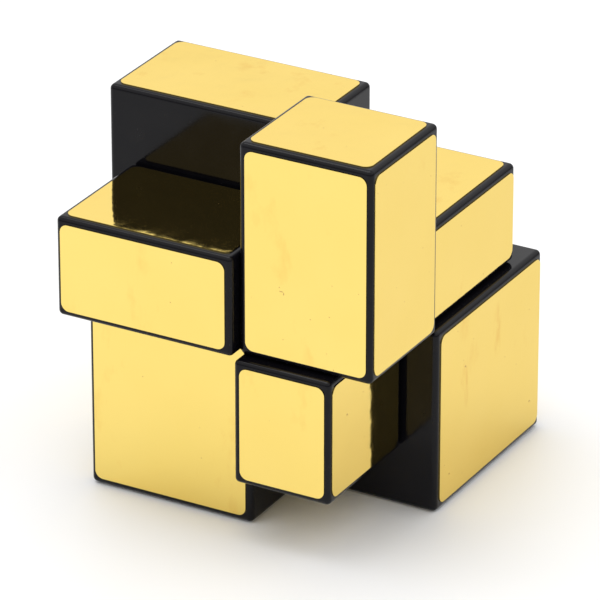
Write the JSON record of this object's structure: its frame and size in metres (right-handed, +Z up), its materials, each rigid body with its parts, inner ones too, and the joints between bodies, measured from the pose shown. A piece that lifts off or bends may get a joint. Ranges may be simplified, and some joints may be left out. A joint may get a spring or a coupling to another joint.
{
  "type": "twisty puzzle cube",
  "caption": "Twisty mirror-block puzzle caught mid-scramble: gold-foiled black plastic blocks of different sizes around a sprung ball mechanism, with layers that turn freely.",
  "frame": {"origin": "middle of the bounding box, on the surface the puzzle stands on", "axes": "+Z up, -Y towards the front of the puzzle, +X to its right; all cut planes are square to the axes"},
  "size_m": [0.0558, 0.0558, 0.0636],
  "materials": {
    "black_plastic": "glossy moulded black",
    "gold_foil": "polished gold mirror foil",
    "mechanism_plastic": "satin black, lightly greased",
    "core_plastic": "satin off-white",
    "steel": "zinc plated"
  },
  "bodies": {
    "core": {"core": "core_plastic", "screws": "steel", "washers": "steel", "springs": "steel"},
    "cap_top": {"cap_top": "mechanism_plastic"},
    "cap_bottom": {"cap_bottom": "mechanism_plastic"},
    "cap_front": {"cap_front": "mechanism_plastic"},
    "cap_back": {"cap_back": "mechanism_plastic"},
    "cap_right": {"cap_right": "mechanism_plastic"},
    "cap_left": {"cap_left": "mechanism_plastic"},
    "edge_top_front": {"edge_top_front": "mechanism_plastic"},
    "edge_top_right": {"edge_top_right": "mechanism_plastic"},
    "edge_top_back": {"edge_top_back": "mechanism_plastic"},
    "edge_top_left": {"edge_top_left": "mechanism_plastic"},
    "edge_bottom_front": {"edge_bottom_front": "mechanism_plastic"},
    "edge_bottom_right": {"edge_bottom_right": "mechanism_plastic"},
    "edge_bottom_back": {"edge_bottom_back": "mechanism_plastic"},
    "edge_bottom_left": {"edge_bottom_left": "mechanism_plastic"},
    "edge_front_right": {"edge_front_right": "mechanism_plastic"},
    "edge_front_left": {"edge_front_left": "mechanism_plastic"},
    "edge_back_right": {"edge_back_right": "mechanism_plastic"},
    "edge_back_left": {"edge_back_left": "mechanism_plastic"},
    "block_top_front_left": {"shell_top_front_left": "black_plastic", "foot_top_front_left": "mechanism_plastic", "foils_top_front_left": "gold_foil"},
    "block_top_front_right": {"shell_top_front_right": "black_plastic", "foot_top_front_right": "mechanism_plastic", "foils_top_front_right": "gold_foil"},
    "block_top_back_left": {"shell_top_back_left": "black_plastic", "foot_top_back_left": "mechanism_plastic", "foils_top_back_left": "gold_foil"},
    "block_top_back_right": {"shell_top_back_right": "black_plastic", "foot_top_back_right": "mechanism_plastic", "foils_top_back_right": "gold_foil"},
    "block_bottom_front_left": {"shell_bottom_front_left": "black_plastic", "foot_bottom_front_left": "mechanism_plastic", "foils_bottom_front_left": "gold_foil"},
    "block_bottom_front_right": {"shell_bottom_front_right": "black_plastic", "foot_bottom_front_right": "mechanism_plastic", "foils_bottom_front_right": "gold_foil"},
    "block_bottom_back_left": {"shell_bottom_back_left": "black_plastic", "foot_bottom_back_left": "mechanism_plastic", "foils_bottom_back_left": "gold_foil"},
    "block_bottom_back_right": {"shell_bottom_back_right": "black_plastic", "foot_bottom_back_right": "mechanism_plastic", "foils_bottom_back_right": "gold_foil"}
  },
  "joints": [
    {"name": "top_turn", "type": "hinge", "parent": "core", "child": "cap_top", "pos_m": [0.0059, -0.0059, 0.0298], "axis": [0, 0, 1], "continuous": true},
    {"name": "bottom_turn", "type": "hinge", "parent": "core", "child": "cap_bottom", "pos_m": [0.0059, -0.0059, 0.0298], "axis": [0, 0, -1], "continuous": true},
    {"name": "front_turn", "type": "hinge", "parent": "core", "child": "cap_front", "pos_m": [0.0059, -0.0059, 0.0298], "axis": [0, -1, 0], "continuous": true},
    {"name": "back_turn", "type": "hinge", "parent": "core", "child": "cap_back", "pos_m": [0.0059, -0.0059, 0.0298], "axis": [0, 1, 0], "continuous": true},
    {"name": "right_turn", "type": "hinge", "parent": "core", "child": "cap_right", "pos_m": [0.0059, -0.0059, 0.0298], "axis": [1, 0, 0], "continuous": true},
    {"name": "left_turn", "type": "hinge", "parent": "core", "child": "cap_left", "pos_m": [0.0059, -0.0059, 0.0298], "axis": [-1, 0, 0], "continuous": true},
    {"name": "edge_top_front_on_front", "type": "hinge", "parent": "cap_top", "child": "edge_top_front", "pos_m": [0.0059, -0.0059, 0.0298], "axis": [0, -1, 0], "continuous": true},
    {"name": "edge_top_right_on_right", "type": "hinge", "parent": "cap_top", "child": "edge_top_right", "pos_m": [0.0059, -0.0059, 0.0298], "axis": [1, 0, 0], "continuous": true},
    {"name": "edge_top_back_on_back", "type": "hinge", "parent": "cap_top", "child": "edge_top_back", "pos_m": [0.0059, -0.0059, 0.0298], "axis": [0, 1, 0], "continuous": true},
    {"name": "edge_top_left_on_top", "type": "hinge", "parent": "cap_left", "child": "edge_top_left", "pos_m": [0.0059, -0.0059, 0.0298], "axis": [0, 0, 1], "continuous": true},
    {"name": "edge_bottom_front_on_front", "type": "hinge", "parent": "cap_bottom", "child": "edge_bottom_front", "pos_m": [0.0059, -0.0059, 0.0298], "axis": [0, -1, 0], "continuous": true},
    {"name": "edge_bottom_right_on_bottom", "type": "hinge", "parent": "cap_right", "child": "edge_bottom_right", "pos_m": [0.0059, -0.0059, 0.0298], "axis": [0, 0, -1], "continuous": true},
    {"name": "edge_bottom_back_on_bottom", "type": "hinge", "parent": "cap_back", "child": "edge_bottom_back", "pos_m": [0.0059, -0.0059, 0.0298], "axis": [0, 0, -1], "continuous": true},
    {"name": "edge_bottom_left_on_bottom", "type": "hinge", "parent": "cap_left", "child": "edge_bottom_left", "pos_m": [0.0059, -0.0059, 0.0298], "axis": [0, 0, -1], "continuous": true},
    {"name": "edge_front_right_on_right", "type": "hinge", "parent": "cap_front", "child": "edge_front_right", "pos_m": [0.0059, -0.0059, 0.0298], "axis": [1, 0, 0], "continuous": true},
    {"name": "edge_front_left_on_front", "type": "hinge", "parent": "cap_left", "child": "edge_front_left", "pos_m": [0.0059, -0.0059, 0.0298], "axis": [0, -1, 0], "continuous": true},
    {"name": "edge_back_right_on_right", "type": "hinge", "parent": "cap_back", "child": "edge_back_right", "pos_m": [0.0059, -0.0059, 0.0298], "axis": [1, 0, 0], "continuous": true},
    {"name": "edge_back_left_on_left", "type": "hinge", "parent": "cap_back", "child": "edge_back_left", "pos_m": [0.0059, -0.0059, 0.0298], "axis": [-1, 0, 0], "continuous": true},
    {"name": "block_top_front_left_on_top", "type": "hinge", "parent": "edge_front_left", "child": "block_top_front_left", "pos_m": [0.0059, -0.0059, 0.0298], "axis": [0, 0, 1], "continuous": true},
    {"name": "block_top_front_right_on_front", "type": "hinge", "parent": "edge_top_right", "child": "block_top_front_right", "pos_m": [0.0059, -0.0059, 0.0298], "axis": [0, -1, 0], "continuous": true},
    {"name": "block_top_back_left_on_left", "type": "hinge", "parent": "edge_top_back", "child": "block_top_back_left", "pos_m": [0.0059, -0.0059, 0.0298], "axis": [-1, 0, 0], "continuous": true},
    {"name": "block_top_back_right_on_top", "type": "hinge", "parent": "edge_back_right", "child": "block_top_back_right", "pos_m": [0.0059, -0.0059, 0.0298], "axis": [0, 0, 1], "continuous": true},
    {"name": "block_bottom_front_left_on_left", "type": "hinge", "parent": "edge_bottom_front", "child": "block_bottom_front_left", "pos_m": [0.0059, -0.0059, 0.0298], "axis": [-1, 0, 0], "continuous": true},
    {"name": "block_bottom_front_right_on_bottom", "type": "hinge", "parent": "edge_front_right", "child": "block_bottom_front_right", "pos_m": [0.0059, -0.0059, 0.0298], "axis": [0, 0, -1], "continuous": true},
    {"name": "block_bottom_back_left_on_bottom", "type": "hinge", "parent": "edge_back_left", "child": "block_bottom_back_left", "pos_m": [0.0059, -0.0059, 0.0298], "axis": [0, 0, -1], "continuous": true},
    {"name": "block_bottom_back_right_on_back", "type": "hinge", "parent": "edge_bottom_right", "child": "block_bottom_back_right", "pos_m": [0.0059, -0.0059, 0.0298], "axis": [0, 1, 0], "continuous": true}
  ],
  "couplings": [
    {"joint": "edge_top_front_on_front", "follows": "front_turn", "ratio": 1},
    {"joint": "edge_top_right_on_right", "follows": "right_turn", "ratio": 1},
    {"joint": "edge_top_back_on_back", "follows": "back_turn", "ratio": 1},
    {"joint": "edge_top_left_on_top", "follows": "top_turn", "ratio": 1},
    {"joint": "edge_bottom_front_on_front", "follows": "front_turn", "ratio": 1},
    {"joint": "edge_bottom_right_on_bottom", "follows": "bottom_turn", "ratio": 1},
    {"joint": "edge_bottom_back_on_bottom", "follows": "bottom_turn", "ratio": 1},
    {"joint": "edge_bottom_left_on_bottom", "follows": "bottom_turn", "ratio": 1},
    {"joint": "edge_front_right_on_right", "follows": "right_turn", "ratio": 1},
    {"joint": "edge_front_left_on_front", "follows": "front_turn", "ratio": 1},
    {"joint": "edge_back_right_on_right", "follows": "right_turn", "ratio": 1},
    {"joint": "edge_back_left_on_left", "follows": "left_turn", "ratio": 1},
    {"joint": "block_top_front_left_on_top", "follows": "top_turn", "ratio": 1},
    {"joint": "block_top_front_right_on_front", "follows": "front_turn", "ratio": 1},
    {"joint": "block_top_back_left_on_left", "follows": "left_turn", "ratio": 1},
    {"joint": "block_top_back_right_on_top", "follows": "top_turn", "ratio": 1},
    {"joint": "block_bottom_front_left_on_left", "follows": "left_turn", "ratio": 1},
    {"joint": "block_bottom_front_right_on_bottom", "follows": "bottom_turn", "ratio": 1},
    {"joint": "block_bottom_back_left_on_bottom", "follows": "bottom_turn", "ratio": 1},
    {"joint": "block_bottom_back_right_on_back", "follows": "back_turn", "ratio": 1}
  ]
}
